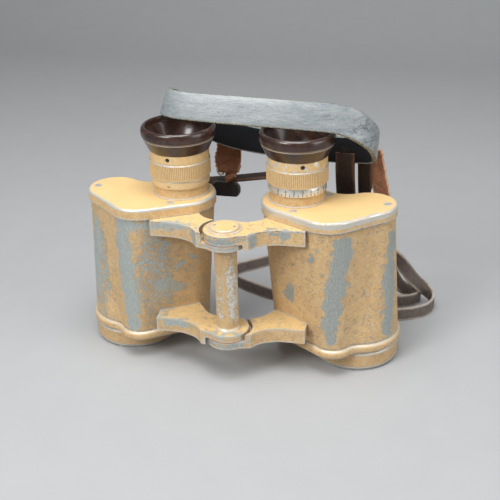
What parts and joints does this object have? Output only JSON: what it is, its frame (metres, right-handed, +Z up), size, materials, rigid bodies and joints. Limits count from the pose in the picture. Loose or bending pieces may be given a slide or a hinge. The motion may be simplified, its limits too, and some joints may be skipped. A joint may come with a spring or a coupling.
{
  "type": "binoculars",
  "caption": "Old hinged prism binoculars standing on their objective ends, worn sand paint, flared dark eyecups, leather neck pad draped over them and long loose straps.",
  "frame": {"origin": "middle of the bounding box of the two barrels on the surface they stand on", "axes": "+X from the left barrel to the right one as seen from the hinge side, +Y from the hinge towards the back, +Z up towards the eyepieces"},
  "size_m": [0.1697, 0.1376, 0.1251],
  "materials": {
    "painted_alloy": "sand-coloured enamel worn through to grey alloy",
    "steel": "bare, lightly scratched",
    "dark_steel": "blued",
    "brass": "spring strip",
    "blackened_metal": "matt black",
    "glass": "polished",
    "bakelite": "moulded, glossy rim",
    "fibre": "red fibre",
    "black_leather": "glazed, cracked",
    "brown_leather": "rough flesh side",
    "strap_leather": "worn smooth"
  },
  "bodies": {
    "right_barrel": {"right_housing": "painted_alloy", "right_cover": "painted_alloy", "right_objective_plate": "painted_alloy", "right_plate_screws": "steel", "right_prism_shelf": "blackened_metal", "right_upper_prism": "glass", "right_lower_prism": "glass", "right_prism_clips": "brass", "right_strap_lug": "painted_alloy", "right_objective_cap": "painted_alloy", "right_eccentric_ring": "blackened_metal", "right_objective_cell": "blackened_metal", "right_objective_lens": "glass", "right_objective_retainer": "blackened_metal", "right_guide_tube": "painted_alloy", "reticle_cell": "blackened_metal", "reticle": "glass", "hinge_axle": "dark_steel", "hinge_tube": "painted_alloy", "upper_hinge_cap": "painted_alloy", "lower_hinge_cap": "painted_alloy", "upper_hinge_washer": "fibre", "lower_hinge_washer": "fibre", "neck_pad": "black_leather", "pad_stud": "dark_steel", "left_tab": "brown_leather", "right_tab": "brown_leather", "strap_keeper": "black_leather", "right_strap": "strap_leather", "strap_tail": "strap_leather", "left_strap": "strap_leather"},
    "left_barrel": {"left_housing": "painted_alloy", "left_cover": "painted_alloy", "left_objective_plate": "painted_alloy", "left_plate_screws": "steel", "left_prism_shelf": "blackened_metal", "left_upper_prism": "glass", "left_lower_prism": "glass", "left_prism_clips": "brass", "left_strap_lug": "painted_alloy", "left_objective_cap": "painted_alloy", "left_eccentric_ring": "blackened_metal", "left_objective_cell": "blackened_metal", "left_objective_lens": "glass", "left_objective_retainer": "blackened_metal", "left_guide_tube": "painted_alloy"},
    "right_lens_slide": {"right_lens_tube": "blackened_metal", "right_field_lens": "glass", "right_eye_lens": "glass", "right_eye_lens_retainer": "blackened_metal"},
    "right_eyepiece": {"right_focus_ring": "painted_alloy", "right_eyecup": "bakelite", "right_set_screw": "dark_steel"},
    "left_lens_slide": {"left_lens_tube": "blackened_metal", "left_field_lens": "glass", "left_eye_lens": "glass", "left_eye_lens_retainer": "blackened_metal"},
    "left_eyepiece": {"left_focus_ring": "painted_alloy", "left_eyecup": "bakelite", "left_set_screw": "dark_steel"}
  },
  "joints": [
    {"name": "barrel_hinge", "type": "hinge", "parent": "right_barrel", "child": "left_barrel", "pos_m": [0, -0.0215, 0.045], "axis": [0, 0, 1], "range_deg": [0, 60]},
    {"name": "right_focus_slide", "type": "slide", "parent": "right_barrel", "child": "right_lens_slide", "axis": [0, 0, 1], "range_m": [-0.004, 0]},
    {"name": "right_focus_turn", "type": "hinge", "parent": "right_lens_slide", "child": "right_eyepiece", "pos_m": [0.0273, 0.0062, 0.09], "axis": [0, 0, 1], "range_deg": [0, 240]},
    {"name": "left_focus_slide", "type": "slide", "parent": "left_barrel", "child": "left_lens_slide", "axis": [0, 0, 1], "range_m": [-0.004, 0]},
    {"name": "left_focus_turn", "type": "hinge", "parent": "left_lens_slide", "child": "left_eyepiece", "pos_m": [-0.0273, 0.0062, 0.09], "axis": [0, 0, 1], "range_deg": [0, 240]}
  ],
  "couplings": [
    {"joint": "right_focus_slide", "follows": "right_focus_turn", "m_per_rad": -0.00095},
    {"joint": "left_focus_slide", "follows": "left_focus_turn", "m_per_rad": -0.00095}
  ]
}
